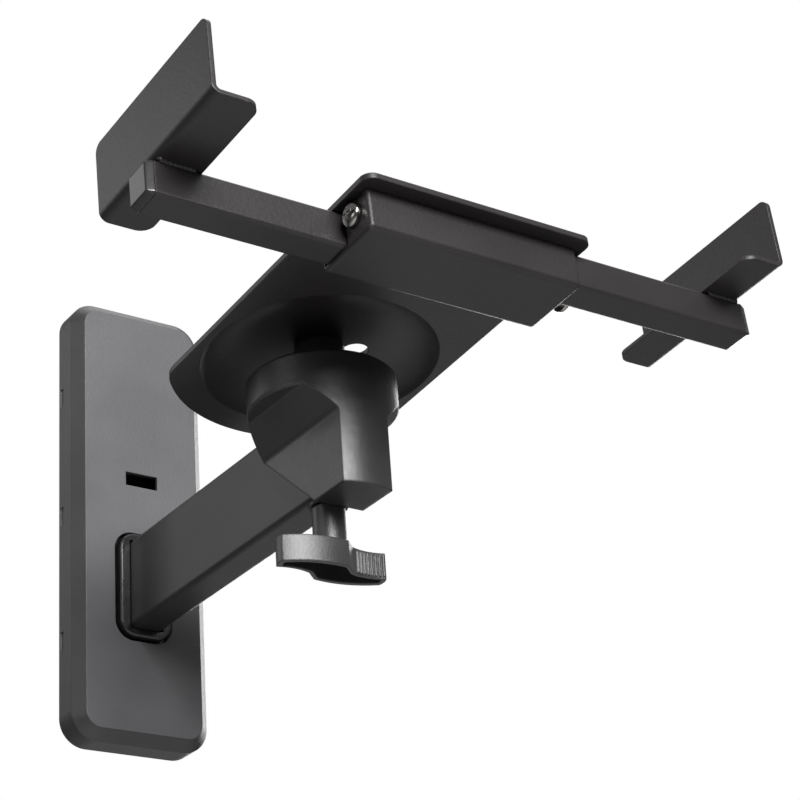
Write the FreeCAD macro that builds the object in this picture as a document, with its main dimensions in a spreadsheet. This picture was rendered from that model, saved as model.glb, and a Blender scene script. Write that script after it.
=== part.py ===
"""Wall bracket that clamps a bookshelf loudspeaker between two adjustable jaws.

The wall is the plane y = 0 and the bracket reaches out along -Y. Z is up, X runs along the wall,
and the origin is the centre of the steel plate's back, where the bracket meets the wall.
The clamp is drawn in a frame of its own, with its origin at the centre of the ball that it tilts on.
"""
import FreeCAD
import Part
import Sketcher
import math
import os
import re

SIZES = [
    # steel plate on the wall and the cover clipped over it
    ("cover_width", 70.6), ("cover_height", 226.4), ("cover_depth", 17.8), ("cover_bevel", 5.2),
    ("cover_corner", 13.0), ("cover_wall", 2.2), ("cover_fit", 0.3),
    ("collar_side", 5.2), ("collar_end", 3.9), ("collar_rise", 3.0), ("collar_corner", 8.0),
    ("collar_gap", 1.5), ("collar_lip", 3.0), ("collar_lip_thickness", 2.0), ("collar_set", 1.5),
    ("window_width", 17.0), ("window_height", 7.0), ("window_rise", 19.5),
    ("snap_spacing", 63.5), ("snap_length", 9.0), ("snap_width", 3.0), ("snap_depth", 0.6),
    ("backplate_thickness", 3.0), ("wall_hole_diameter", 5.5), ("wall_hole_sink", 1.9),
    ("wall_hole_side", 20.0), ("wall_hole_end", 92.0),
    # arm: one straight rectangular tube
    ("arm_width", 16.5), ("arm_height", 44.0), ("arm_wall", 2.0), ("arm_corner", 2.5),
    ("arm_drop", 36.2), ("arm_past_bolt", 25.5), ("arm_fit", 0.25),
    # head: a cast block that ends in a wide round cup with a small ball on it
    ("pivot_reach", 180.0), ("pivot_height", 11.7), ("ball_radius", 11.5), ("ball_neck_radius", 11.0),
    ("cup_radius", 32.5), ("cup_drop", 12.9), ("cup_thickness", 15.4), ("cup_chamfer", 1.2), ("cup_cone", 2.2),
    ("block_width", 24.0), ("block_height", 45.5), ("block_foot", 8.0),
    ("block_slope", 41.0), ("flare_reach", 12.0), ("flare_round", 4.0),
    # clamping bolt, its washers and the wing knob
    ("bolt_diameter", 8.0), ("bolt_clearance", 0.3), ("bolt_length", 106.0), ("bolt_head_flats", 13.0),
    ("bolt_head_height", 5.3), ("ball_fit", 0.05),
    ("saddle_radius", 9.4), ("saddle_thickness", 1.6), ("saddle_slope", 30.0),
    ("knob_washer_radius", 8.3), ("knob_washer_thickness", 1.6), ("seat_gap", 0.3),
    ("knob_neck_radius", 7.15), ("knob_neck_length", 17.2), ("knob_height", 11.5), ("knob_wall", 1.7),
    ("wing_reach", 25.5), ("wing_end", 3.2), ("wing_front", 9.2), ("wing_bulge_radius", 40.0),
    ("wing_crest", 3.0), ("thumb_start", 8.6), ("thumb_end", 24.4), ("thumb_line", 4.0), ("thumb_radius", 22.0),
    ("wing_tip_radius", 9.0), ("knob_roof", 2.4), ("rib_radius", 0.65), ("rib_count", 8),
    ("insert_radius", 5.4), ("insert_length", 14.0), ("thread_fit", 0.05),
    # top plate with its pressed dish
    ("rest_tilt", 4.7), ("plate_width", 110.0), ("plate_thickness", 2.5), ("plate_front", 123.0),
    ("plate_rear_radius", 65.5), ("tail_corner", 14.0), ("plate_corner", 5.0),
    ("dish_radius", 52.0), ("dish_depth", 8.4), ("dish_wall_angle", 47.0),
    ("seat_edge", 10.0), ("bolt_window_radius", 6.6),
    ("side_hole_radius", 6.0), ("side_hole_offset", 17.5), ("side_hole_turn", 7.0),
    # channel under the plate, and the two square tubes that slide in it side by side
    ("channel_length", 102.0), ("channel_set", 24.45), ("sheet", 2.0), ("channel_bend", 2.6), ("tab_bend", 1.6),
    ("bar_width", 15.0), ("bar_height", 16.0), ("bar_wall", 1.5), ("bar_corner", 1.6), ("bar_length", 122.0),
    ("slide_gap", 0.3), ("right_reach", 142.2), ("left_reach", 134.0),
    ("cap_head", 3.5), ("cap_plug", 9.0), ("cap_fit", 0.1), ("nut_length", 9.0),
    # jaws folded from sheet
    ("jaw_length", 88.0), ("jaw_height", 35.4), ("jaw_flange", 21.0), ("jaw_bend", 4.0),
    ("jaw_top_corner", 4.0), ("jaw_flange_corner", 6.0),
    # adjusting screws
    ("screw_diameter", 6.0), ("screw_rise", 1.4), ("screw_length", 100.0), ("front_screw_back_off", 0.3),
    ("rear_screw_back_off", 9.5), ("screw_head_radius", 5.2), ("screw_head_height", 3.8),
    ("recess_span", 6.4), ("recess_width", 1.2), ("recess_depth", 2.2),
]

# Expressions shared by pieces of the clamp, all in the frame of the ball's centre.
RING_LEVEL = "sqrt((ball_radius + ball_fit)^2 - seat_edge^2)"
UNDERSIDE = f"({RING_LEVEL} - dish_depth)"
CHANNEL_Y = "(channel_set - plate_front)"
CHANNEL_HALF = "(bar_width + slide_gap * 1.5 + sheet)"
BAR_TOP = f"({UNDERSIDE} - slide_gap)"
BAR_MIDDLE = f"({BAR_TOP} - bar_height / 2)"
SCREW_LINE = f"({BAR_MIDDLE} + screw_rise)"
TUBE_ROOM = ("bar_width - 2 * (bar_wall + cap_fit)", "bar_height - 2 * (bar_wall + cap_fit)")
CHANNEL_BOTTOM = f"({BAR_TOP} - bar_height - slide_gap / 2 - sheet)"
BAR_ASIDE = "((bar_width + slide_gap) / 2)"
OUTER_SPHERE = "(ball_radius + ball_fit + plate_thickness)"
CUP_BOTTOM = "(0 - cup_drop - cup_thickness)"
BLOCK_BOTTOM = f"({CUP_BOTTOM} - block_height)"
ARM_BOTTOM = "(0 - arm_drop - arm_height / 2)"
WASHER_TOP = f"({ARM_BOTTOM} - seat_gap)"
KNOB_TOP = f"({WASHER_TOP} - knob_washer_thickness - seat_gap)"
SADDLE_TOP = f"({OUTER_SPHERE} + ball_fit + saddle_thickness)"
COLLAR_WIDTH = "(arm_width + 2 * collar_side)"
COLLAR_HEIGHT = "(arm_height + 2 * collar_end)"

doc = FreeCAD.newDocument("speaker_bracket")
sheet = doc.addObject("Spreadsheet::Sheet", "sizes")
for row, (alias, number) in enumerate(SIZES, start=1):
    sheet.set(f"A{row}", alias)
    sheet.set(f"B{row}", str(number))
    sheet.setAlias(f"B{row}", alias)
doc.recompute()
subparts = []


def bound(text):
    """The expression with every size name pointed at the sheet."""
    return re.sub(r"\b([a-z]+(?:_[a-z]+)+|sheet)\b", r"sizes.\1", text)


def value(text):
    """The number that an expression has now, in millimetres or degrees."""
    result = sheet.evalExpression(bound(text))
    return float(getattr(result, "Value", result))


def point(x, y):
    return FreeCAD.Vector(value(x), value(y), 0)


def keep(piece, label):
    """Names a finished sub-part and lists it for export."""
    piece.Label = label
    subparts.append(piece)
    return piece


def move_to(piece, x="0", y="0", z="0"):
    """Sets the piece down at a place that the sheet's sizes give."""
    piece.Placement.Base = FreeCAD.Vector(value(x), value(y), value(z))
    for axis, text in zip("xyz", (x, y, z)):
        piece.setExpression(f".Placement.Base.{axis}", bound(text))
    return piece


def on_pivot(piece):
    """Upright pieces of the head and bolt: origin at the centre of the ball."""
    return move_to(piece, "0", "0 - pivot_reach", "pivot_height")


def on_clamp(piece):
    """Pieces of the clamp: origin at the ball's centre, leaning back by the resting tilt."""
    lean = FreeCAD.Rotation(FreeCAD.Vector(1, 0, 0), -value("rest_tilt"))
    piece.Placement = FreeCAD.Placement(FreeCAD.Vector(), lean)
    on_pivot(piece)
    piece.setExpression(".Placement.Rotation.Angle", bound("rest_tilt"))
    lean_axis = piece.Placement.Rotation.Axis
    if lean_axis.x > 0:
        piece.setExpression(".Placement.Rotation.Angle", bound("0 - rest_tilt"))
    return piece


def new_body(name):
    return doc.addObject("PartDesign::Body", name + "_body")


def new_sketch(body, plane, offset="0"):
    """A sketch on one of the body's own planes, moved along that plane's normal."""
    sketch = body.newObject("Sketcher::SketchObject", body.Name + "_sketch")
    support = [part for part in body.Origin.OriginFeatures if part.Role == plane + "_Plane"][0]
    sketch.AttachmentSupport = [(support, "")]
    sketch.MapMode = "FlatFace"
    sketch.AttachmentOffset = FreeCAD.Placement(FreeCAD.Vector(0, 0, value(offset)), FreeCAD.Rotation())
    sketch.setExpression(".AttachmentOffset.Base.z", bound(offset))
    return sketch


def fix(sketch, kind, geometry, end, text):
    """Ties one coordinate of a sketch point to an expression."""
    sketch.addConstraint(Sketcher.Constraint(kind, -1, 1, geometry, end, value(text)))
    name = f"size{sketch.ConstraintCount}"
    sketch.renameConstraint(sketch.ConstraintCount - 1, name)
    sketch.setExpression(f"Constraints.{name}", bound(text))


def fix_radius(sketch, geometry, text):
    sketch.addConstraint(Sketcher.Constraint("Radius", geometry, value(text)))
    name = f"size{sketch.ConstraintCount}"
    sketch.renameConstraint(sketch.ConstraintCount - 1, name)
    sketch.setExpression(f"Constraints.{name}", bound(text))


def arc_middle(start, end, radius, turn):
    """The point halfway along the shorter arc; turn is 1 for anticlockwise and -1 for clockwise."""
    chord = end - start
    half = chord.Length / 2
    sagitta = radius - math.sqrt(max(radius**2 - half**2, 0))
    side = FreeCAD.Vector(chord.y, -chord.x, 0).normalize() * turn
    return (start + end) * 0.5 + side * sagitta


def draw(sketch, corners):
    """Adds a closed outline; a corner is (x, y), or (x, y, radius, turn) where an arc starts there."""
    first = sketch.GeometryCount
    places = [point(*corner[:2]) for corner in corners]
    ends = []
    for i, corner in enumerate(corners):
        start, end = places[i], places[(i + 1) % len(places)]
        if len(corner) == 4:
            sketch.addGeometry(Part.Arc(start, arc_middle(start, end, value(corner[2]), corner[3]), end))
            ends.append((1, 2) if corner[3] > 0 else (2, 1))
        else:
            sketch.addGeometry(Part.LineSegment(start, end))
            ends.append((1, 2))
    for i, corner in enumerate(corners):
        after = (i + 1) % len(corners)
        sketch.addConstraint(Sketcher.Constraint("Coincident", first + i, ends[i][1],
                                                 first + after, ends[after][0]))
    for i, corner in enumerate(corners):
        fix(sketch, "DistanceX", first + i, ends[i][0], corner[0])
        fix(sketch, "DistanceY", first + i, ends[i][0], corner[1])
        if len(corner) == 4:
            fix_radius(sketch, first + i, corner[2])
    return sketch


def draw_box(sketch, x, y, width, height, corner=None):
    """A rectangle about a centre, with rounded corners where a radius is given."""
    left, right = f"({x}) - ({width}) / 2", f"({x}) + ({width}) / 2"
    low, high = f"({y}) - ({height}) / 2", f"({y}) + ({height}) / 2"
    if corner is None:
        return draw(sketch, [(left, low), (right, low), (right, high), (left, high)])
    r = f"({corner})"
    return draw(sketch, [
        (f"{left} + {r}", low), (f"{right} - {r}", low, corner, 1), (right, f"{low} + {r}"),
        (right, f"{high} - {r}", corner, 1), (f"{right} - {r}", high), (f"{left} + {r}", high, corner, 1),
        (left, f"{high} - {r}"), (left, f"{low} + {r}", corner, 1)])


def draw_circle(sketch, x, y, radius):
    sketch.addGeometry(Part.Circle(point(x, y), FreeCAD.Vector(0, 0, 1), value(radius)))
    geometry = sketch.GeometryCount - 1
    fix(sketch, "DistanceX", geometry, 3, x)
    fix(sketch, "DistanceY", geometry, 3, y)
    fix_radius(sketch, geometry, radius)
    return sketch


def pad(body, sketch, length, both=False, back=False):
    """Raises a sketch; both centres it on the sketch, back raises it against the normal."""
    feature = body.newObject("PartDesign::Pad", body.Name + "_pad")
    feature.Profile = sketch
    feature.setExpression("Length", bound(length))
    feature.Midplane = both
    feature.Reversed = back
    return finish(body, feature)


def pocket(body, sketch, length=None, back=False):
    """Cuts a sketch to a depth against its normal, or right through both ways with no length."""
    feature = body.newObject("PartDesign::Pocket", body.Name + "_pocket")
    feature.Profile = sketch
    if length is None:
        feature.Type = "ThroughAll"
        feature.Midplane = True
    else:
        feature.setExpression("Length", bound(length))
        feature.Reversed = back
    before = body.Shape.Volume
    finish(body, feature)
    if not feature.Shape.Volume < before - 0.01:
        raise ValueError(f"{feature.Name} cuts nothing")
    return feature


def revolve(body, sketch, axis="V_Axis"):
    feature = body.newObject("PartDesign::Revolution", body.Name + "_revolution")
    feature.Profile = sketch
    feature.ReferenceAxis = (sketch, [axis])
    feature.Angle = 360
    return finish(body, feature)


def finish(body, feature):
    """Makes a feature the body's tip and computes it."""
    sketch = getattr(feature, "Profile", None)
    if sketch:
        sketch[0].Visibility = False
    body.Tip = feature
    doc.recompute()
    if "Invalid" in feature.State or feature.Shape.isNull():
        raise ValueError(f"{feature.Name}: {feature.getStatusString()}")
    return feature


def edges_where(shape, test):
    """Names of the edges whose middle point and direction pass a test."""
    names = []
    for number, edge in enumerate(shape.Edges, start=1):
        middle = edge.valueAt((edge.FirstParameter + edge.LastParameter) / 2)
        along = edge.tangentAt((edge.FirstParameter + edge.LastParameter) / 2)
        if test(edge, middle, along):
            names.append(f"Edge{number}")
    return names


def dress(body, kind, size, test):
    """Fillets or chamfers the chosen edges of the body's tip."""
    base = body.Tip
    names = edges_where(base.Shape, test)
    if not names:
        raise ValueError(f"no edges to dress on {body.Name}")
    feature = body.newObject("PartDesign::" + kind, body.Name + "_" + kind.lower())
    feature.Base = (base, names)
    feature.setExpression("Radius" if kind == "Fillet" else "Size", bound(size))
    return finish(body, feature)


def straight(edge):
    return edge.Curve.TypeId == "Part::GeomLine"


def near(number, text, margin=0.05):
    return abs(number - value(text)) < margin


# Steel plate screwed to the wall: four countersunk holes at its corners.
def make_wall_plate():
    body = new_body("wall_plate")
    inset = "2 * (cover_wall + cover_fit)"
    outline = new_sketch(body, "XZ")
    draw_box(outline, "0", "0", f"cover_width - {inset}", f"cover_height - {inset}",
             "cover_corner - cover_wall - cover_fit")
    pad(body, outline, "backplate_thickness")
    holes = new_sketch(body, "XZ")
    for side in ("1", "-1"):
        for end in ("1", "-1"):
            draw_circle(holes, f"wall_hole_side * {side}", f"wall_hole_end * {end}", "wall_hole_diameter / 2")
    pocket(body, holes)
    dress(body, "Chamfer", "wall_hole_sink",
          lambda edge, middle, along: edge.Curve.TypeId == "Part::GeomCircle"
          and near(edge.Curve.Radius, "wall_hole_diameter / 2")
          and near(edge.Curve.Center.y, "0 - backplate_thickness"))
    return keep(move_to(body), "wall_plate")


# Moulded shell over the plate: straight skirt, flat front inside a bevel, raised collar round the arm.
def make_wall_cover():
    body = new_body("wall_cover")
    outline = draw_box(new_sketch(body, "XZ"), "0", "0", "cover_width", "cover_height", "cover_corner")
    pad(body, outline, "cover_depth")
    dress(body, "Chamfer", "cover_bevel", lambda edge, middle, along: near(middle.y, "0 - cover_depth"))
    bevel = "(cover_bevel - (2 - sqrt(2)) * cover_wall)"
    inside = ("cover_width - 2 * cover_wall", "cover_height - 2 * cover_wall", "cover_corner - cover_wall")
    skirt_depth = f"cover_depth - cover_wall - {bevel}"
    pocket(body, draw_box(new_sketch(body, "XZ"), "0", "0", *inside), skirt_depth, back=True)
    narrowing = pocket(body, draw_box(new_sketch(body, "XZ", skirt_depth), "0", "0", *inside), bevel, back=True)
    narrowing.TaperAngle = -45
    finish(body, narrowing)
    opening = draw_box(new_sketch(body, "XZ"), "0", "0 - arm_drop", f"{COLLAR_WIDTH} + 2 * collar_gap",
                       f"{COLLAR_HEIGHT} + 2 * collar_gap", "collar_corner + collar_gap")
    pocket(body, opening)
    pocket(body, draw_box(new_sketch(body, "XZ"), "0", "window_rise", "window_width", "window_height"))
    for side in (1, -1):
        dents = new_sketch(body, "YZ", f"(cover_width / 2 - snap_depth) * {side}")
        for step in (-1, 0, 1):
            draw_box(dents, "0 - snap_width", f"snap_spacing * {step}", "snap_width", "snap_length")
        pocket(body, dents, "snap_depth * 2", back=side > 0)
    return keep(move_to(body), "wall_cover")


# Moulded ring pushed along the arm into the cover's opening, with a lip behind the cover.
def make_collar():
    body = new_body("arm_collar")
    ring = new_sketch(body, "XZ", "cover_depth - cover_wall - collar_set - collar_lip_thickness")
    draw_box(ring, "0", "0 - arm_drop", COLLAR_WIDTH, COLLAR_HEIGHT, "collar_corner")
    pad(body, ring, "collar_rise + cover_wall + collar_set + collar_lip_thickness")
    dress(body, "Chamfer", "collar_rise / 4",
          lambda edge, middle, along: near(middle.y, "0 - cover_depth - collar_rise"))
    lip = new_sketch(body, "XZ", "cover_depth - cover_wall - collar_set - collar_lip_thickness")
    draw_box(lip, "0", "0 - arm_drop", f"{COLLAR_WIDTH} + 2 * collar_lip", f"{COLLAR_HEIGHT} + 2 * collar_lip",
             "collar_corner + collar_lip")
    pad(body, lip, "collar_lip_thickness")
    pocket(body, draw_box(new_sketch(body, "XZ"), "0", "0 - arm_drop", "arm_width + 2 * arm_fit",
                          "arm_height + 2 * arm_fit"))
    return keep(move_to(body), "arm_collar")


# Straight rectangular tube from the wall plate into the head, drilled top and bottom for the bolt.
def make_arm():
    body = new_body("arm_tube")
    pad(body, draw_box(new_sketch(body, "XZ"), "0", "0", "arm_width", "arm_height"),
        "pivot_reach + arm_past_bolt - backplate_thickness")
    along_y = lambda edge, middle, along: straight(edge) and abs(along.y) > 0.9
    dress(body, "Fillet", "arm_corner", along_y)
    pocket(body, draw_box(new_sketch(body, "XZ"), "0", "0", "arm_width - 2 * arm_wall",
                          "arm_height - 2 * arm_wall"))
    bolt_hole = new_sketch(body, "XY")
    pocket(body, draw_circle(bolt_hole, "0", "backplate_thickness - pivot_reach",
                             "bolt_diameter / 2 + bolt_clearance"))
    return keep(move_to(body, "0", "0 - backplate_thickness", "0 - arm_drop"), "arm_tube")


# Cast head: a block with flat sides that flare out under a wide round cup, with a ball on top.
def make_head():
    body = new_body("arm_head")
    half, wide = "block_width / 2", "(block_width / 2 + flare_reach)"
    flare_foot, block_top = f"({CUP_BOTTOM} - flare_reach)", f"({CUP_BOTTOM} + cup_chamfer)"
    section = draw(new_sketch(body, "XZ"), [
        (f"0 - {half}", BLOCK_BOTTOM), (half, BLOCK_BOTTOM), (half, flare_foot), (wide, CUP_BOTTOM),
        (wide, block_top), (f"0 - {wide}", block_top), (f"0 - {wide}", CUP_BOTTOM), (f"0 - {half}", flare_foot)])
    pad(body, section, "4 * cup_radius", both=True)
    dress(body, "Fillet", "flare_round",
          lambda edge, middle, along: abs(along.y) > 0.9 and near(middle.z, flare_foot))
    trim = draw_box(new_sketch(body, "XY"), "0", "0", "6 * cup_radius", "6 * cup_radius")
    pocket(body, draw_circle(trim, "0", "0", "cup_radius"))
    top = "sqrt(ball_radius^2 - (bolt_diameter / 2)^2)"
    cup = draw(new_sketch(body, "XZ"), [
        ("0", CUP_BOTTOM), ("cup_radius - cup_chamfer / 2", CUP_BOTTOM),
        ("cup_radius", f"{CUP_BOTTOM} + cup_chamfer / 2"),
        ("cup_radius", "0 - cup_drop - cup_chamfer"), ("cup_radius - cup_chamfer", "0 - cup_drop"),
        ("ball_neck_radius", "cup_cone - cup_drop"),
        ("ball_neck_radius", "sqrt(ball_radius^2 - ball_neck_radius^2)", "ball_radius", 1),
        ("bolt_diameter / 2", top), ("0", top)])
    revolve(body, cup)
    rise = f"({CUP_BOTTOM} - {BLOCK_BOTTOM}) / tan(block_slope)"
    slope = draw(new_sketch(body, "YZ"), [
        ("0 - block_foot", f"{BLOCK_BOTTOM} - 1"), ("2 * cup_radius", f"{BLOCK_BOTTOM} - 1"),
        ("2 * cup_radius", CUP_BOTTOM), (f"{rise} - block_foot", CUP_BOTTOM), ("0 - block_foot", BLOCK_BOTTOM)])
    pocket(body, slope)
    socket = new_sketch(body, "XZ", "arm_past_bolt + arm_fit")
    draw_box(socket, "0", "0 - pivot_height - arm_drop", "arm_width + 2 * arm_fit", "arm_height + 2 * arm_fit")
    pocket(body, socket, "3 * cup_radius")
    pocket(body, draw_circle(new_sketch(body, "XY"), "0", "0", "bolt_diameter / 2 + bolt_clearance"))
    washer_room = draw_circle(new_sketch(body, "XY", BLOCK_BOTTOM), "0", "0", "knob_washer_radius + bolt_clearance")
    pocket(body, washer_room, f"{ARM_BOTTOM} - ({BLOCK_BOTTOM})", back=True)
    return keep(on_pivot(body), "arm_head")


# Hex bolt through the saddle washer, plate, head and arm, down into the knob.
def make_clamp_bolt():
    shank = doc.addObject("Part::Cylinder", "bolt_shank")
    shank.setExpression("Radius", bound("bolt_diameter / 2"))
    shank.setExpression("Height", bound("bolt_length"))
    move_to(shank, z=f"{SADDLE_TOP} + seat_gap - bolt_length")
    head = doc.addObject("Part::Prism", "bolt_head")
    head.Polygon = 6
    head.setExpression("Circumradius", bound("bolt_head_flats / sqrt(3)"))
    head.setExpression("Height", bound("bolt_head_height"))
    move_to(head, z=f"{SADDLE_TOP} + seat_gap")
    bolt = doc.addObject("Part::Fuse", "clamp_bolt")
    bolt.Base, bolt.Tool = shank, head
    return keep(on_pivot(bolt), "clamp_bolt")


# Washer with a conical seat below, which rides on the round crown pressed in the dish.
def make_saddle_washer():
    body = new_body("saddle_washer")
    bore, sphere = "(bolt_diameter / 2 + bolt_clearance)", f"({OUTER_SPHERE} + ball_fit)"
    seat = [(radius, f"({sphere} - {radius} * sin(saddle_slope)) / cos(saddle_slope)")
            for radius in (bore, "saddle_radius")]
    profile = draw(new_sketch(body, "XZ"), seat + [
        ("saddle_radius", f"{SADDLE_TOP} - saddle_thickness"), ("saddle_radius - saddle_thickness", SADDLE_TOP),
        (bore, SADDLE_TOP)])
    revolve(body, profile)
    return keep(on_pivot(body), "saddle_washer")


# Plain washer between the knob and the underside of the arm.
def make_knob_washer():
    ring = new_body("knob_washer")
    rim = draw_circle(new_sketch(ring, "XY"), "0", "0", "knob_washer_radius")
    pad(ring, draw_circle(rim, "0", "0", "bolt_diameter / 2 + bolt_clearance"), "knob_washer_thickness", back=True)
    return keep(move_to(ring, "0", "0 - pivot_reach", WASHER_TOP), "knob_washer")


def wing_outline(inset):
    """Plan of both wings, drawn in by a wall's thickness: a bulging front, then a dished thumb face."""
    half = [("0 - wing_reach + {0}", "{0} - wing_end", "wing_bulge_radius", 1),
            ("wing_crest - {0} / 2", "{0} - wing_front"),
            ("thumb_start - {0} / 2", "{0} - thumb_line", "thumb_radius", -1),
            ("thumb_end - {0}", "{0} - thumb_line", "wing_tip_radius", 1)]
    first = [(corner[0].format(inset), corner[1].format(inset)) + corner[2:] for corner in half]
    second = [(f"0 - ({corner[0]})", f"0 - ({corner[1]})") + corner[2:] for corner in first]
    return first + second


# Moulded wing knob: round neck, two wings, hollow below, with finger ribs on the hollow sides.
def make_knob():
    body = new_body("clamp_knob")
    pad(body, draw_circle(new_sketch(body, "XY"), "0", "0", "knob_neck_radius"),
        "knob_neck_length + knob_roof", back=True)
    wings = new_sketch(body, "XY", "0 - knob_neck_length")
    pad(body, draw(wings, wing_outline("0")), "knob_height", back=True)
    hollow = new_sketch(body, "XY", "0 - knob_neck_length - knob_height")
    pocket(body, draw(hollow, wing_outline("knob_wall")), "knob_height - knob_roof", back=True)
    ribs = new_sketch(body, "XY", "0 - knob_neck_length - knob_roof / 3")
    half_chord, middle = "((thumb_end - thumb_start) / 2)", "((thumb_end + thumb_start) / 2)"
    chord_depth = f"sqrt(thumb_radius^2 - {half_chord}^2)"
    count = int(value("rib_count"))
    for side in ("1", "-1"):
        for step in range(count):
            along = f"({half_chord} * {2 * step + 2 - count} / (rib_count + 1))"
            rib_line = f"(sqrt(thumb_radius^2 - {along}^2) - {chord_depth} - thumb_line)"
            draw_circle(ribs, f"({middle} + {along}) * {side}", f"{rib_line} * {side}", "rib_radius")
    pad(body, ribs, "knob_height - knob_roof * 2 / 3", back=True)
    bore = new_sketch(body, "XY")
    pocket(body, draw_circle(bore, "0", "0", "bolt_diameter / 2 + bolt_clearance"))
    seat = new_sketch(body, "XY")
    pocket(body, draw_circle(seat, "0", "0", "insert_radius"), "insert_length")
    return keep(move_to(body, "0", "0 - pivot_reach", KNOB_TOP), "clamp_knob")


# Brass insert moulded into the knob's neck, threaded for the bolt.
def make_knob_insert():
    body = new_body("knob_insert")
    rim = draw_circle(new_sketch(body, "XY"), "0", "0", "insert_radius")
    pad(body, draw_circle(rim, "0", "0", "bolt_diameter / 2 + thread_fit"), "insert_length", back=True)
    return keep(move_to(body, "0", "0 - pivot_reach", KNOB_TOP), "knob_insert")


# Flat steel plate with a round tail and a shallow dish pressed up, seated on the ball.
def make_top_plate():
    body = new_body("top_plate")
    half = "plate_width / 2"
    tail = "sqrt(plate_rear_radius^2 - (plate_width / 2)^2)"
    outline = draw(new_sketch(body, "XY", UNDERSIDE), [
        (f"0 - {half}", "0 - plate_front"), (half, "0 - plate_front"),
        (half, tail, "plate_rear_radius", 1), (f"0 - {half}", tail)])
    pad(body, outline, "plate_thickness")
    dress(body, "Fillet", "plate_corner",
          lambda edge, middle, along: straight(edge) and abs(along.z) > 0.9 and near(middle.y, "0 - plate_front"))
    dress(body, "Fillet", "tail_corner",
          lambda edge, middle, along: straight(edge) and abs(along.z) > 0.9 and near(middle.y, tail))
    pocket(body, draw_circle(new_sketch(body, "XY"), "0", "0", "dish_radius"))
    revolve(body, draw(new_sketch(body, "XZ"), dish_section()))
    pocket(body, draw_circle(new_sketch(body, "XY"), "side_hole_offset * cos(side_hole_turn)",
                             "0 - side_hole_offset * sin(side_hole_turn)", "side_hole_radius"))
    return keep(on_clamp(body), "top_plate")


def dish_section():
    """Half of the drawn dish: a bowl that starts at the rim, a flat ring and a raised round seat."""
    bowl = "(dish_depth / (1 - cos(dish_wall_angle)))"
    outer_bowl = f"({bowl} + plate_thickness)"
    inner = f"(dish_radius - {bowl} * sin(dish_wall_angle))"
    sphere = "(ball_radius + ball_fit)"
    top = f"({RING_LEVEL} + plate_thickness)"
    return [
        ("dish_radius", UNDERSIDE, bowl, 1),
        (inner, RING_LEVEL), ("seat_edge", RING_LEVEL, sphere, 1),
        ("bolt_window_radius", f"sqrt({sphere}^2 - bolt_window_radius^2)"),
        ("bolt_window_radius", f"sqrt({OUTER_SPHERE}^2 - bolt_window_radius^2)", OUTER_SPHERE, -1),
        (f"sqrt({OUTER_SPHERE}^2 - {top}^2)", top), (inner, top, outer_bowl, -1),
        (f"{inner} + sqrt({outer_bowl}^2 - ({outer_bowl} - dish_depth)^2)", f"{UNDERSIDE} + plate_thickness"),
        ("dish_radius", f"{UNDERSIDE} + plate_thickness")]


# U-shaped channel welded under the plate's front; each end has a tab that holds one screw.
def make_channel():
    body = new_body("slide_channel")
    front, back = f"({CHANNEL_Y} - {CHANNEL_HALF})", f"({CHANNEL_Y} + {CHANNEL_HALF})"
    section = draw(new_sketch(body, "YZ"), [
        (front, CHANNEL_BOTTOM), (back, CHANNEL_BOTTOM), (back, UNDERSIDE), (f"{back} - sheet", UNDERSIDE),
        (f"{back} - sheet", f"{CHANNEL_BOTTOM} + sheet"), (f"{front} + sheet", f"{CHANNEL_BOTTOM} + sheet"),
        (f"{front} + sheet", UNDERSIDE), (front, UNDERSIDE)])
    pad(body, section, "channel_length", both=True)
    dress(body, "Fillet", "channel_bend",
          lambda edge, middle, along: abs(along.x) > 0.9 and near(middle.z, CHANNEL_BOTTOM))
    for side in (1, -1):
        tab = new_sketch(body, "YZ", f"(channel_length / 2) * {side}")
        low, high = f"({CHANNEL_BOTTOM} + sheet / 2)", f"({BAR_TOP} - slide_gap)"
        draw_box(tab, f"{CHANNEL_Y} + ({BAR_ASIDE} + sheet / 2) * {side}", f"({low} + {high}) / 2",
                 "bar_width", f"{high} - {low}")
        pad(body, tab, "sheet", back=side > 0)
        outer = f"{CHANNEL_Y} + {CHANNEL_HALF} * {side}"
        dress(body, "Fillet", "tab_bend",
              lambda edge, middle, along: abs(along.z) > 0.9 and near(middle.y, outer)
              and near(middle.x, f"channel_length / 2 * {side}"))
        hole = new_sketch(body, "YZ", f"(channel_length / 2) * {side}")
        draw_circle(hole, f"{CHANNEL_Y} + {BAR_ASIDE} * {side}", SCREW_LINE, "screw_diameter / 2 + thread_fit")
        pocket(body, hole, "sheet", back=side < 0)
    return keep(on_clamp(body), "slide_channel")


# Square tube that slides out of the channel; right is the front one and left the rear one.
def make_bar(name, side, reach):
    body = new_body(name + "_bar")
    aside = f"{CHANNEL_Y} - {BAR_ASIDE} * {side}"
    end = f"{reach} * {side}"
    pad(body, draw_box(new_sketch(body, "YZ", end), aside, BAR_MIDDLE, "bar_width", "bar_height"),
        "bar_length", back=side > 0)
    dress(body, "Fillet", "bar_corner", lambda edge, middle, along: straight(edge) and abs(along.x) > 0.9)
    pocket(body, draw_box(new_sketch(body, "YZ"), aside, BAR_MIDDLE, "bar_width - 2 * bar_wall",
                          "bar_height - 2 * bar_wall"))
    return keep(on_clamp(body), name + "_bar")


# Threaded block fixed in the tube's inner end, where the adjusting screw pulls.
def make_bar_nut(name, side, reach):
    body = new_body(name + "_bar_nut")
    aside = f"{CHANNEL_Y} - {BAR_ASIDE} * {side}"
    block = new_sketch(body, "YZ", f"({reach} - bar_length) * {side}")
    draw_box(block, aside, BAR_MIDDLE, *TUBE_ROOM)
    pad(body, draw_circle(block, aside, SCREW_LINE, "screw_diameter / 2 + thread_fit"), "nut_length", back=side < 0)
    return keep(on_clamp(body), name + "_bar_nut")


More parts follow.
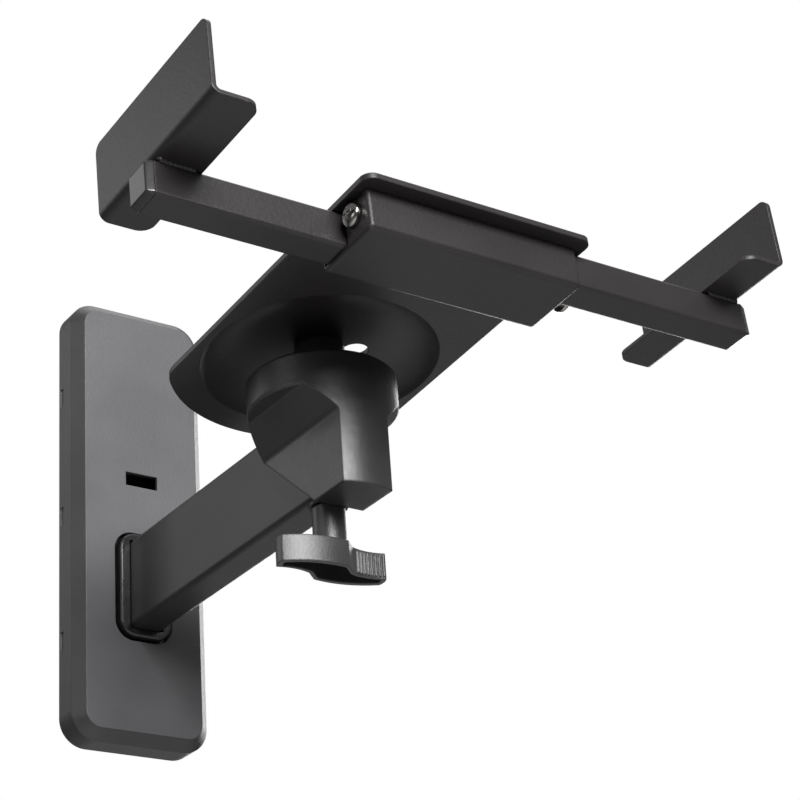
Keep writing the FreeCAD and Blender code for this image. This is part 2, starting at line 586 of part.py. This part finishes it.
# Moulded cap: a head as wide as the tube, on a plug pressed into its outer end.
def make_bar_cap(name, side, reach):
    body = new_body(name + "_bar_cap")
    aside = f"{CHANNEL_Y} - {BAR_ASIDE} * {side}"
    end = f"{reach} * {side}"
    pad(body, draw_box(new_sketch(body, "YZ", end), aside, BAR_MIDDLE, "bar_width", "bar_height"),
        "cap_head", back=side < 0)
    dress(body, "Fillet", "bar_corner", lambda edge, middle, along: straight(edge) and abs(along.x) > 0.9)
    dress(body, "Chamfer", "bar_corner / 2",
          lambda edge, middle, along: near(middle.x, f"({reach} + cap_head) * {side}"))
    plug = new_sketch(body, "YZ", end)
    draw_box(plug, aside, BAR_MIDDLE, *TUBE_ROOM)
    draw_box(plug, aside, BAR_MIDDLE, "bar_width - 4 * bar_wall", "bar_height - 4 * bar_wall")
    pad(body, plug, "cap_plug", back=side > 0)
    return keep(on_clamp(body), name + "_bar_cap")


# Jaw folded from sheet: a flange welded on the tube and a lip that grips the cabinet's side.
def make_jaw(name, side, reach):
    body = new_body(name + "_jaw")
    out = lambda inward: f"({reach} - ({inward})) * {side}"
    high = lambda up: f"{BAR_TOP} + ({up})"
    turn = 1 if side > 0 else -1
    profile = draw(new_sketch(body, "XZ", f"0 - {CHANNEL_Y}"), [
        (out("jaw_flange"), high("0")), (out("jaw_bend"), high("0"), "jaw_bend", turn),
        (out("0"), high("jaw_bend")), (out("0"), high("jaw_height")), (out("sheet"), high("jaw_height")),
        (out("sheet"), high("jaw_bend"), "jaw_bend - sheet", -turn), (out("jaw_bend"), high("sheet")),
        (out("jaw_flange"), high("sheet"))])
    pad(body, profile, "jaw_length", both=True)
    dress(body, "Fillet", "jaw_top_corner",
          lambda edge, middle, along: abs(along.x) > 0.9 and near(middle.z, high("jaw_height")))
    dress(body, "Fillet", "jaw_flange_corner",
          lambda edge, middle, along: abs(along.z) > 0.9 and near(middle.x, out("jaw_flange")))
    return keep(on_clamp(body), name + "_jaw")


# Pan-head screw with a cross recess; it turns in the channel's tab and draws one tube along.
def make_screw(name, side):
    body = new_body(name + "_screw")
    face = f"(channel_length / 2 + {name}_screw_back_off)"
    crown = "screw_head_height"
    profile = draw(new_sketch(body, "XZ"), [
        (f"({face} + {crown}) * {side}", "0"), (f"({face} + {crown}) * {side}", "screw_head_radius / 2"),
        (f"({face} + {crown} / 3) * {side}", "screw_head_radius"), (f"{face} * {side}", "screw_head_radius"),
        (f"{face} * {side}", "screw_diameter / 2"), (f"({face} - screw_length + 1) * {side}", "screw_diameter / 2"),
        (f"({face} - screw_length) * {side}", "screw_diameter / 2 - 1"), (f"({face} - screw_length) * {side}", "0")])
    revolve(body, profile, "H_Axis")
    for width, height in (("recess_span", "recess_width"), ("recess_width", "recess_span")):
        cross = draw_box(new_sketch(body, "YZ", f"({face} + {crown}) * {side}"), "0", "0", width, height)
        pocket(body, cross, "recess_depth", back=side < 0)
    return keep(body, name + "_screw")


def on_screw_line(piece, side):
    """Pieces drawn about the screw's own axis, set down in the leaning clamp."""
    across = f"({CHANNEL_Y} + {BAR_ASIDE} * {side})"
    on_clamp(piece)
    move_to(piece, "0", f"0 - pivot_reach + {across} * cos(rest_tilt) + {SCREW_LINE} * sin(rest_tilt)",
            f"pivot_height - {across} * sin(rest_tilt) + {SCREW_LINE} * cos(rest_tilt)")
    return piece


make_wall_plate()
make_wall_cover()
make_collar()
make_arm()
make_head()
make_clamp_bolt()
make_saddle_washer()
make_knob_washer()
make_knob()
make_knob_insert()
make_top_plate()
make_channel()
for name, side, reach in (("right", 1, "right_reach"), ("left", -1, "left_reach")):
    make_bar(name, side, reach)
    make_bar_nut(name, side, reach)
    make_bar_cap(name, side, reach)
    make_jaw(name, side, reach)
for name, side in (("front", -1), ("rear", 1)):
    on_screw_line(make_screw(name, side), side)
doc.recompute()

for item in doc.Objects:
    if {"Invalid", "Error"} & set(item.State):
        raise ValueError(f"{item.Name} failed: {item.State}")
os.makedirs("parts", exist_ok=True)
for piece in subparts:
    if piece.Shape.isNull() or not piece.Shape.isValid():
        raise ValueError(f"{piece.Label} has no valid shape")
for piece in subparts:
    piece.Shape.exportStep(f"parts/{piece.Label}.step")
    print(piece.Label, len(piece.Shape.Solids), round(piece.Shape.Volume, 1))
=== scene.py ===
"""Wall bracket that grips a bookshelf loudspeaker: black powder-coated steel on a moulded wall cover.

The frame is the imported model's own, in metres: the wall is y = 0, the arm reaches out along -Y, and Z is up.
"""
import math

import bmesh
import bpy
from mathutils import Matrix, Vector


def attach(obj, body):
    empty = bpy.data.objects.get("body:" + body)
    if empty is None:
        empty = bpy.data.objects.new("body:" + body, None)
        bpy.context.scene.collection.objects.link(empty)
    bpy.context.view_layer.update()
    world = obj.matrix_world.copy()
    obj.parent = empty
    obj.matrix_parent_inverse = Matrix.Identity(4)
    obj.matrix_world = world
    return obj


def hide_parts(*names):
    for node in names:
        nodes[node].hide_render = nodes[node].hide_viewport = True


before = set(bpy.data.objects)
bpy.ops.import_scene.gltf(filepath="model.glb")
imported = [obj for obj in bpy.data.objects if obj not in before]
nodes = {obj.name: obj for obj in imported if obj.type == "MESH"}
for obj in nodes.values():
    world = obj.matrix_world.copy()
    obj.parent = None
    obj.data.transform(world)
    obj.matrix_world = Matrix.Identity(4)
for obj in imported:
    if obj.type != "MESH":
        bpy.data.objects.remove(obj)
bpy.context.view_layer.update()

# Wall cover: a shell of black ABS, injection moulded, that clips over the steel plate with no screw in sight.
# The mould is spark finished for the front face alone, which is more matt than the bevels and sides, left smooth.
# The front face is also painted paler and the bevels and sides darker, by which way each face points: that is
# painted light and shade. The pits are about 0.35 mm apart, drawn at 0.9 mm so that they show from a step away.


def linear(hex_colour):
    """An sRGB hex colour as the linear values that the shader takes."""
    parts = [int(hex_colour[i:i + 2], 16) / 255 for i in (1, 3, 5)]
    return [c / 12.92 if c <= 0.04045 else ((c + 0.055) / 1.055) ** 2.4 for c in parts] + [1.0]


def add_node(owner, kind, settings=None, **inputs):
    """Adds a node to a material or world, with its settings, and sets or links its inputs.

    An input goes by its name, with _ for a space, or by i and its number where several share a name.
    """
    node = owner.node_tree.nodes.new(kind)
    for name, setting in (settings or {}).items():
        setattr(node, name, setting)
    for name, given in inputs.items():
        by_number = name[0] == "i" and name[1:].isdigit()
        socket = node.inputs[int(name[1:]) if by_number else name.replace("_", " ")]
        if isinstance(given, bpy.types.NodeSocket):
            owner.node_tree.links.new(given, socket)
        else:
            socket.default_value = given
    return node


def new_material(name, **shader_inputs):
    """A material, its Principled shader, and the place on the object, in metres, that patterns follow."""
    material = bpy.data.materials.new(name)
    material.use_nodes = True
    tree = material.node_tree
    shader = tree.nodes["Principled BSDF"]
    for socket, setting in shader_inputs.items():
        shader.inputs[socket.replace("_", " ")].default_value = setting
    place = tree.nodes.new("ShaderNodeTexCoord").outputs["Object"]
    return material, shader, place


def finish_surface(material, shader, tint, dark, pale, gloss, relief, depth, edge):
    """Gives a shader its colour, which runs from dark to pale with the tint, its gloss and its relief.

    The tint is a noise, most of which lies between 0.35 and 0.65. depth is the relief's full height and edge
    the radius that rounds the edges, both in metres.
    """
    spread = add_node(material, "ShaderNodeMapRange", Value=tint, From_Min=0.35, From_Max=0.65)
    colour = add_node(material, "ShaderNodeMix", {"data_type": "RGBA"}, i0=spread.outputs["Result"], i6=dark, i7=pale)
    rounded = add_node(material, "ShaderNodeBevel", {"samples": 6}, Radius=edge)
    bumps = add_node(material, "ShaderNodeBump", Strength=1.0, Distance=depth, Height=relief,
                     Normal=rounded.outputs["Normal"])
    links = material.node_tree.links
    links.new(colour.outputs[2], shader.inputs["Base Color"])
    links.new(gloss.outputs["Result"], shader.inputs["Roughness"])
    links.new(bumps.outputs["Normal"], shader.inputs["Normal"])


def coat(node_names, material):
    """Puts a material on CAD nodes, in their own slots."""
    for name in node_names:
        slots = nodes[name].data.materials
        if not slots:
            slots.append(material)
        for i in range(len(slots)):
            slots[i] = material


cover_abs, shader, place = new_material("black ABS, spark finish, painted light and shade", IOR=1.52)
pits = add_node(cover_abs, "ShaderNodeTexNoise", Vector=place, Scale=1 / 0.0009, Detail=3.0, Roughness=0.6)
drift = add_node(cover_abs, "ShaderNodeTexNoise", Vector=place, Scale=1 / 0.045, Detail=2.0)
# Painted light and shade: faces that point to the front are painted paler, and the bevels and sides darker. The same
# mask also makes the front more matt, as its spark finish.
facing = add_node(cover_abs, "ShaderNodeSeparateXYZ", Vector=place.node.outputs["Normal"])
front = add_node(cover_abs, "ShaderNodeMapRange", Value=facing.outputs["Y"],
                 From_Min=-0.97, From_Max=-0.88, To_Min=1.0, To_Max=0.0)
# Each end of the random tone holds a painted lit front colour and a painted shaded side colour.
cover_dark_with_painted_light = add_node(cover_abs, "ShaderNodeMix", {"data_type": "RGBA"}, i0=front.outputs["Result"],
                      i6=linear("#313132"), i7=linear("#555557"))
cover_pale_with_painted_light = add_node(cover_abs, "ShaderNodeMix", {"data_type": "RGBA"}, i0=front.outputs["Result"],
                      i6=linear("#39393a"), i7=linear("#5e5e60"))
smooth_gloss = add_node(cover_abs, "ShaderNodeMapRange", Value=pits.outputs["Fac"], To_Min=0.32, To_Max=0.42)
spark_gloss = add_node(cover_abs, "ShaderNodeMapRange", Value=pits.outputs["Fac"], To_Min=0.44, To_Max=0.58)
cover_gloss = add_node(cover_abs, "ShaderNodeMapRange", Value=front.outputs["Result"],
                       To_Min=smooth_gloss.outputs["Result"], To_Max=spark_gloss.outputs["Result"])
finish_surface(cover_abs, shader, drift.outputs["Fac"], cover_dark_with_painted_light.outputs[2], cover_pale_with_painted_light.outputs[2],
               cover_gloss, pits.outputs["Fac"], depth=0.00018, edge=0.0007)
coat(["wall_cover"], cover_abs)

# Collar: a ring of black ABS from a polished mould, pressed into the cover where the arm comes through.
# It is blacker and glossier than the cover, so its rim draws a thin bright line.
collar_abs, shader, place = new_material("black ABS, polished mould", IOR=1.52)
haze = add_node(collar_abs, "ShaderNodeTexNoise", Vector=place, Scale=1 / 0.005, Detail=2.0)
collar_gloss = add_node(collar_abs, "ShaderNodeMapRange", Value=haze.outputs["Fac"], To_Min=0.18, To_Max=0.28)
finish_surface(collar_abs, shader, haze.outputs["Fac"], linear("#1c1c1d"), linear("#242425"),
               collar_gloss, haze.outputs["Fac"], depth=0.00005, edge=0.0008)
coat(["arm_collar"], collar_abs)

# Wall plate: 3 mm mild steel, punched and zinc plated. Only its back, its holes and its edges show, from
# behind. Zinc plate is silvery with a faint blue cast, and cloudy where the crystals differ. The threaded
# blocks inside the sliding tubes are plated in the same way.
zinc_plate, shader, place = new_material("zinc-plated steel", Metallic=1.0)
spangle = add_node(zinc_plate, "ShaderNodeTexVoronoi", Vector=place, Scale=1 / 0.004)
cloud = add_node(zinc_plate, "ShaderNodeTexNoise", Vector=place, Scale=1 / 0.012, Detail=4.0)
zinc_gloss = add_node(zinc_plate, "ShaderNodeMapRange", Value=spangle.outputs["Distance"], To_Min=0.30, To_Max=0.46)
finish_surface(zinc_plate, shader, cloud.outputs["Fac"], linear("#a9adb1"), linear("#bbbec2"),
               zinc_gloss, cloud.outputs["Fac"], depth=0.00003, edge=0.0003)
coat(["wall_plate", "right_bar_nut", "left_bar_nut"], zinc_plate)

# Arm, clamp plate, channel, tubes and jaws: mild steel, cut, pressed and welded, then powder coated.
# The coat is satin black with a faint brown warmth and a slight orange peel, about 1.6 mm across.
powder_coat, shader, place = new_material("satin black powder coat on steel", IOR=1.5)
peel = add_node(powder_coat, "ShaderNodeTexNoise", Vector=place, Scale=1 / 0.0016, Detail=2.0, Roughness=0.45)
grain = add_node(powder_coat, "ShaderNodeTexNoise", Vector=place, Scale=1 / 0.0004, Detail=1.0)
shade = add_node(powder_coat, "ShaderNodeTexNoise", Vector=place, Scale=1 / 0.05, Detail=3.0)
coat_gloss = add_node(powder_coat, "ShaderNodeMapRange", Value=grain.outputs["Fac"], To_Min=0.32, To_Max=0.46)
skin = add_node(powder_coat, "ShaderNodeMath", {"operation": "MULTIPLY_ADD"},
                i0=grain.outputs["Fac"], i1=0.3, i2=peel.outputs["Fac"])
finish_surface(powder_coat, shader, shade.outputs["Fac"], linear("#221f20"), linear("#292627"),
               coat_gloss, skin.outputs["Value"], depth=0.00007, edge=0.0009)
coat(["arm_tube", "top_plate", "slide_channel", "right_bar", "left_bar", "right_jaw", "left_jaw"], powder_coat)

# Head and saddle washer: a zinc die casting, tumbled and painted satin black.
# The paint is thicker than powder on a flat, so edges are softer and the light runs in broad bands.
cast_paint, shader, place = new_material("satin black paint on die casting", IOR=1.5, Specular_IOR_Level=0.65)
flow = add_node(cast_paint, "ShaderNodeTexNoise", Vector=place, Scale=1 / 0.003, Detail=3.0)
tone = add_node(cast_paint, "ShaderNodeTexNoise", Vector=place, Scale=1 / 0.03, Detail=2.0)
cast_gloss = add_node(cast_paint, "ShaderNodeMapRange", Value=flow.outputs["Fac"], To_Min=0.33, To_Max=0.45)
finish_surface(cast_paint, shader, tone.outputs["Fac"], linear("#262526"), linear("#2e2d2d"),
               cast_gloss, flow.outputs["Fac"], depth=0.0001, edge=0.0014)
coat(["arm_head", "saddle_washer"], cast_paint)

# Clamp bolt and the washer above the knob: an M8 hexagon bolt, cold forged and blackened in hot oxide.
# Oxide keeps the metal's shine but turns it nearly black, patchy where the oil dried.
black_oxide, shader, place = new_material("black oxide on forged steel", Metallic=0.85)
oil = add_node(black_oxide, "ShaderNodeTexNoise", Vector=place, Scale=1 / 0.004, Detail=4.0)
oxide_gloss = add_node(black_oxide, "ShaderNodeMapRange", Value=oil.outputs["Fac"], To_Min=0.28, To_Max=0.5)
finish_surface(black_oxide, shader, oil.outputs["Fac"], linear("#2c2b2c"), linear("#3d3a39"),
               oxide_gloss, oil.outputs["Fac"], depth=0.00004, edge=0.0005)
coat(["clamp_bolt", "knob_washer"], black_oxide)

# Knob: glass-filled nylon, moulded round a threaded insert.
# Nylon with glass is a shade greyer than the steel's coat, and its flat front mirrors a lamp softly.
knob_nylon, shader, place = new_material("black glass-filled nylon, moulded", IOR=1.53)
fibre = add_node(knob_nylon, "ShaderNodeTexNoise", Vector=place, Scale=1 / 0.0008, Detail=4.0, Roughness=0.6)
swirl = add_node(knob_nylon, "ShaderNodeTexNoise", Vector=place, Scale=1 / 0.02, Detail=2.0, Distortion=0.6)
nylon_gloss = add_node(knob_nylon, "ShaderNodeMapRange", Value=fibre.outputs["Fac"], To_Min=0.28, To_Max=0.42)
finish_surface(knob_nylon, shader, swirl.outputs["Fac"], linear("#343435"), linear("#3e3e3f"),
               nylon_gloss, fibre.outputs["Fac"], depth=0.0001, edge=0.0009)
coat(["clamp_knob"], knob_nylon)

# Insert: a threaded bush of brass, turned on a lathe, in the middle of the knob.
# It shows only down the knob's bore, as a yellow ring with fine tool marks.
turned_brass, shader, place = new_material("turned brass", Metallic=1.0)
lathe = add_node(turned_brass, "ShaderNodeTexNoise", Vector=place, Scale=1 / 0.002, Detail=3.0)
brass_gloss = add_node(turned_brass, "ShaderNodeMapRange", Value=lathe.outputs["Fac"], To_Min=0.25, To_Max=0.4)
finish_surface(turned_brass, shader, lathe.outputs["Fac"], linear("#b08d4a"), linear("#c9a45c"),
               brass_gloss, lathe.outputs["Fac"], depth=0.00002, edge=0.0002)
coat(["knob_insert"], turned_brass)

# Tube caps: polyethylene, moulded in a polished mould and pressed into the sliding tubes' outer ends.
# They are glossier than the steel, so their edges carry a bright strip of the lamps. Each is a loft of
# rounded squares: a plug inside the tube, then a rim flush with it, then a tapered and rounded end.
cap_poly, shader, place = new_material("black polyethylene, polished mould", IOR=1.51)
sink = add_node(cap_poly, "ShaderNodeTexNoise", Vector=place, Scale=1 / 0.006, Detail=2.0)
cap_gloss = add_node(cap_poly, "ShaderNodeMapRange", Value=sink.outputs["Fac"], To_Min=0.15, To_Max=0.25)
finish_surface(cap_poly, shader, sink.outputs["Fac"], linear("#232323"), linear("#2a2a2a"),
               cap_gloss, sink.outputs["Fac"], depth=0.00006, edge=0.0005)

# The clamp leans 4.7 degrees forward on its ball. What follows is drawn in millimetres in the clamp's own
# frame, which has its origin at the ball's centre. A cap's profile says how far a ring lies out of the tube
# and how far it is set in from the tube's outside.
clamp_frame = Matrix.Translation((0, -0.18, 0.0117)) @ Matrix.Rotation(math.radians(-4.7), 4, "X")
tube_half_width, tube_half_height, tube_corner = 7.5, 8, 1.6
tube_level = -10.92
right_tube_line, left_tube_line = -106.2, -90.9
right_tube_reach, left_tube_reach = 142.2, 134.0
cap_profile = ((-9, 1.8), (-0.1, 1.8), (0, 0.2), (0.15, 0), (0.5, 0), (3.0, 1.2), (3.3, 1.5), (3.45, 2.0))
sharpest_corner = 0.5


def join_rings(mesh, rings):
    """Closes a row of rings into a skin, with a face at each end."""
    for near, far in zip(rings, rings[1:]):
        for i in range(len(near)):
            mesh.faces.new((near[i - 1], near[i], far[i], far[i - 1]))
    mesh.faces.new(rings[0])
    mesh.faces.new(rings[-1])


def keep_piece(name, mesh, material, body):
    """Sets down a mesh drawn in the clamp's frame as a piece that rides on a body."""
    bmesh.ops.recalc_face_normals(mesh, faces=mesh.faces)
    mesh.transform(clamp_frame @ Matrix.Scale(0.001, 4))
    data = bpy.data.meshes.new(name)
    mesh.to_mesh(data)
    mesh.free()
    data.polygons.foreach_set("use_smooth", [True] * len(data.polygons))
    data.materials.append(material)
    piece = bpy.data.objects.new(name, data)
    bpy.context.scene.collection.objects.link(piece)
    piece.modifiers.new("flat faces stay flat", "WEIGHTED_NORMAL")
    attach(piece, body)
    return piece


for name, side, reach, middle in (("right", 1, right_tube_reach, right_tube_line),
                                  ("left", -1, left_tube_reach, left_tube_line)):
    mesh = bmesh.new()
    rings = []
    for out, inset in cap_profile:
        corner = max(tube_corner - inset, sharpest_corner)
        ring = []
        for quarter, (across, up) in enumerate(((1, 1), (-1, 1), (-1, -1), (1, -1))):
            for step in range(7):
                turn = math.radians(90 * quarter + 15 * step)
                ring.append(mesh.verts.new((
                    (reach + out) * side,
                    middle + across * (tube_half_width - inset - corner) + corner * math.cos(turn),
                    tube_level + up * (tube_half_height - inset - corner) + corner * math.sin(turn))))
        rings.append(ring)
    join_rings(mesh, rings)
    cap = keep_piece(name + "_tube_cap", mesh, cap_poly, name + "_slide")
    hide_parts(name + "_bar_cap")

# Welds: each jaw's flange is welded along both sides of its tube, and the channel along its rear edge.
# A bead is a row of overlapping ripples about 2 mm apart, under the same powder coat as the steel. It
# swells a little at each ripple and thins out at its two ends.
bead_level, bead_step, bead_radius = -2.9, 0.3, 1.25
bead_end, bead_growth = 0.3, 0.25
ripple_spacing, ripple_swell, ripple_lean, ripple_lean_turn = 2.1, 0.22, 0.5, 0.8
for name, start, end, across, body in (
        ("left_jaw_weld_front", -132.5, -116, -98.5, "left_slide"),
        ("left_jaw_weld_rear", -132.5, -116, -83.3, "left_slide"),
        ("right_jaw_weld_front", 123.5, 140.5, -113.8, "right_slide"),
        ("right_jaw_weld_rear", 123.5, 140.5, -98.6, "right_slide"),
        ("channel_weld_left", -46, -26, -81.1, "platform"),
        ("channel_weld_middle", -10, 10, -81.1, "platform"),
        ("channel_weld_right", 26, 46, -81.1, "platform")):
    mesh = bmesh.new()
    rings = []
    count = round((end - start) / bead_step)
    for i in range(count + 1):
        along = start + (end - start) * i / count
        ripple = 1 + ripple_swell * abs(math.sin(math.pi * along / ripple_spacing))
        thinning = min(1, bead_end + bead_growth * min(i, count - i))
        bulge = bead_radius * ripple * thinning
        rings.append([mesh.verts.new((along + ripple_lean * math.cos(turn + ripple_lean_turn),
                                      across + bulge * math.cos(turn),
                                      bead_level + bulge * math.sin(turn)))
                      for turn in (math.tau * step / 14 for step in range(14))])
    join_rings(mesh, rings)
    keep_piece(name, mesh, powder_coat, body)

# Adjusting screws: M6 pan heads with a cross recess, nickel plated, with their thread in the tube's block.
# Bright plate on a small dome mirrors the lamps as crescents and goes black in the recess. The rear screw
# is backed off, so its head stands clear of its tab.
nickel_plate, shader, place = new_material("nickel plate on steel", Metallic=1.0)
tarnish = add_node(nickel_plate, "ShaderNodeTexNoise", Vector=place, Scale=1 / 0.003, Detail=4.0)
nickel_gloss = add_node(nickel_plate, "ShaderNodeMapRange", Value=tarnish.outputs["Fac"], To_Min=0.10, To_Max=0.20)
finish_surface(nickel_plate, shader, tarnish.outputs["Fac"], linear("#8d8a88"), linear("#aaa7a4"),
               nickel_gloss, tarnish.outputs["Fac"], depth=0.00002, edge=0.0002)
tab_reach, screw_level = 51, -9.52
head_radius, flank_height, dome_height = 5.2, 1.3, 2.5
slot_length, slot_width, slot_mouth, slot_floor, slot_pinch = 6.4, 1.25, 4.6, 1.4, 0.5
thread_length, thread_pitch, rings_a_turn, root_radius, thread_depth = 99, 1.0, 4, 2.45, 0.5
thread_points, thread_lead_in = 16, 0.85


def ring_round_screw(mesh, along, across, radius, points=48):
    """A ring of points round a screw's middle line, at a place along it."""
    return [mesh.verts.new((along, across + radius * math.cos(turn), screw_level + radius * math.sin(turn)))
            for turn in (math.tau * step / points for step in range(points))]


for name, side, back_off, across in (("front", -1, 0.3, right_tube_line), ("rear", 1, 9.5, left_tube_line)):
    head_seat = (tab_reach + back_off) * side
    mesh = bmesh.new()
    profile = [(0, 4.9), (0.15, 5.1), (0.5, head_radius)]
    for rise in range(0, 90, 6):
        profile.append((flank_height + dome_height * math.sin(math.radians(rise)),
                        head_radius * math.cos(math.radians(rise))))
    join_rings(mesh, [ring_round_screw(mesh, head_seat + out * side, across, radius) for out, radius in profile])
    head = keep_piece(name + "_screw_head", mesh, nickel_plate, name + "_adjuster")

    punch = bmesh.new()
    for width, height in ((slot_length, slot_width), (slot_width, slot_length)):
        join_rings(punch, [[punch.verts.new((head_seat + out * side,
                                             across + y * width / 2 * pinch,
                                             screw_level + z * height / 2 * pinch))
                            for y, z in ((-1, -1), (1, -1), (1, 1), (-1, 1))]
                           for out, pinch in ((slot_mouth, 1.0), (slot_floor, slot_pinch))])
    bmesh.ops.recalc_face_normals(punch, faces=punch.faces)
    punch.transform(clamp_frame @ Matrix.Scale(0.001, 4))
    recess = bpy.data.objects.new("cross recess", bpy.data.meshes.new("cross recess"))
    punch.to_mesh(recess.data)
    punch.free()
    bpy.context.scene.collection.objects.link(recess)
    carve = head.modifiers.new("recess", "BOOLEAN")
    carve.object, carve.solver, carve.use_self = recess, "EXACT", True
    bpy.context.view_layer.update()
    head.data = bpy.data.meshes.new_from_object(head.evaluated_get(bpy.context.evaluated_depsgraph_get()))
    head.modifiers.clear()
    head.data.set_sharp_from_angle(angle=math.radians(30))
    bpy.data.objects.remove(recess)

    mesh = bmesh.new()
    rings = []
    last_ring = thread_length * rings_a_turn - 1
    for i in range(last_ring + 1):
        back = i / rings_a_turn
        ring = ring_round_screw(mesh, head_seat - back * side, across, 1, thread_points)
        for step, point in enumerate(ring):
            crest = abs((back + step / thread_points) % thread_pitch - 0.5) * 2
            radius = (root_radius + thread_depth * crest) * (1 if i < last_ring - 3 else thread_lead_in)
            point.co.y = across + (point.co.y - across) * radius
            point.co.z = screw_level + (point.co.z - screw_level) * radius
        rings.append(ring)
    join_rings(mesh, rings)
    keep_piece(name + "_screw_thread", mesh, nickel_plate, name + "_adjuster")
    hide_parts(name + "_screw")

# Floor: plain pale paint, well below the bracket, that looks white to the camera.
# Its glow is for camera and transmission rays, and only faint for glossy ones, as in the world below.
floor_mesh = bmesh.new()
bmesh.ops.create_grid(floor_mesh, x_segments=1, y_segments=1, size=30.0)
floor_data = bpy.data.meshes.new("floor")
floor_mesh.to_mesh(floor_data)
floor_mesh.free()
floor = bpy.data.objects.new("floor", floor_data)
floor.location = (0, 0, -1.25)
bpy.context.scene.collection.objects.link(floor)
floor_paint, shader, place = new_material("pale floor paint", Roughness=0.8)
dust = add_node(floor_paint, "ShaderNodeTexNoise", Vector=place, Scale=3.0, Detail=3.0)
dust_spread = add_node(floor_paint, "ShaderNodeMapRange", Value=dust.outputs["Fac"], From_Min=0.35, From_Max=0.65)
floor_colour = add_node(floor_paint, "ShaderNodeMix", {"data_type": "RGBA"}, i0=dust_spread.outputs["Result"],
                        i6=linear("#f1f1f1"), i7=linear("#f3f3f3"))
seen = add_node(floor_paint, "ShaderNodeLightPath")
seen_straight = add_node(floor_paint, "ShaderNodeMath", {"operation": "MAXIMUM"},
                         i0=seen.outputs["Is Camera Ray"], i1=seen.outputs["Is Transmission Ray"])
seen_in_gloss = add_node(floor_paint, "ShaderNodeMapRange", Value=seen.outputs["Is Glossy Ray"],
                         To_Min=0.0, To_Max=0.05)
floor_glow = add_node(floor_paint, "ShaderNodeMath", {"operation": "MAXIMUM"},
                      i0=seen_straight.outputs["Value"], i1=seen_in_gloss.outputs["Result"])
floor_paint.node_tree.links.new(floor_colour.outputs[2], shader.inputs["Base Color"])
floor_paint.node_tree.links.new(floor_colour.outputs[2], shader.inputs["Emission Color"])
floor_paint.node_tree.links.new(floor_glow.outputs["Value"], shader.inputs["Emission Strength"])
floor_data.materials.append(floor_paint)

# Studio: a room that is white behind the bracket, and dim for the light that it sends on it.
# Glossy rays see a quarter of the white, which keeps the black faces as dark as in the photograph.
studio = bpy.data.worlds.new("studio")
bpy.context.scene.world = studio
studio.use_nodes = True
background = studio.node_tree.nodes["Background"]
path = add_node(studio, "ShaderNodeLightPath")
straight = add_node(studio, "ShaderNodeMath", {"operation": "MAXIMUM"},
                    i0=path.outputs["Is Camera Ray"], i1=path.outputs["Is Transmission Ray"])
in_gloss = add_node(studio, "ShaderNodeMapRange", Value=path.outputs["Is Glossy Ray"], To_Min=0.04, To_Max=0.25)
strength = add_node(studio, "ShaderNodeMath", {"operation": "MAXIMUM"},
                    i0=straight.outputs["Value"], i1=in_gloss.outputs["Result"])
background.inputs["Color"].default_value = linear("#ffffff")
studio.node_tree.links.new(strength.outputs["Value"], background.inputs["Strength"])

# Lamps: soft oblong boxes that face the bracket. The key comes low from the left in front, so that the
# cover's front shines, with a smaller one higher up for the cup, and the rest fill the sides, top and back.


def add_lamp(name, width, height, power, place):
    """A soft oblong lamp, in metres and watts, that faces the bracket's middle."""
    data = bpy.data.lights.new(name, "AREA")
    data.shape = "RECTANGLE"
    data.size, data.size_y = width, height
    data.energy = power
    lamp = bpy.data.objects.new(name, data)
    lamp.location = place
    aim = Vector((0, -0.18, -0.02)) - Vector(place)
    lamp.rotation_euler = aim.to_track_quat("-Z", "Y").to_euler()
    bpy.context.scene.collection.objects.link(lamp)


add_lamp("key light", 0.50, 0.65, 23.0, (-0.47, -1.47, 0.45))
add_lamp("front light", 0.50, 0.55, 14.0, (-0.02, -1.53, 0.60))
add_lamp("left light", 0.7, 0.7, 2.2, (-1.3, -0.35, 0.15))
add_lamp("rim light", 0.6, 0.6, 1.2, (-0.75, 0.75, 0.55))
add_lamp("low light", 0.9, 0.9, 0.5, (0.7, 0.9, -0.6))
add_lamp("top light", 1.0, 1.0, 5.0, (0.25, -0.05, 1.1))
add_lamp("back light", 1.0, 1.0, 12.0, (1.2, 0.85, 0.35))

# Camera: low in front and to the left, looking up, as in the photograph.
# Its place, its three directions and its lens were fitted to the bracket's edges there.
camera_place = Vector((-0.4828, -0.9080, -0.4440))
right = Vector((0.8286, -0.556, -0.0656))
down = Vector((0.1989, 0.4018, -0.8939))
ahead = Vector((0.5234, 0.7276, 0.4435))
camera_data = bpy.data.cameras.new("camera")
camera_data.sensor_width = 36.0
camera_data.lens = 102.59
camera = bpy.data.objects.new("camera", camera_data)
camera.matrix_world = Matrix.Translation(camera_place) @ Matrix((right, -down, -ahead)).transposed().to_4x4()
bpy.context.scene.collection.objects.link(camera)
bpy.context.scene.camera = camera
bpy.context.scene.view_settings.view_transform = "Standard"
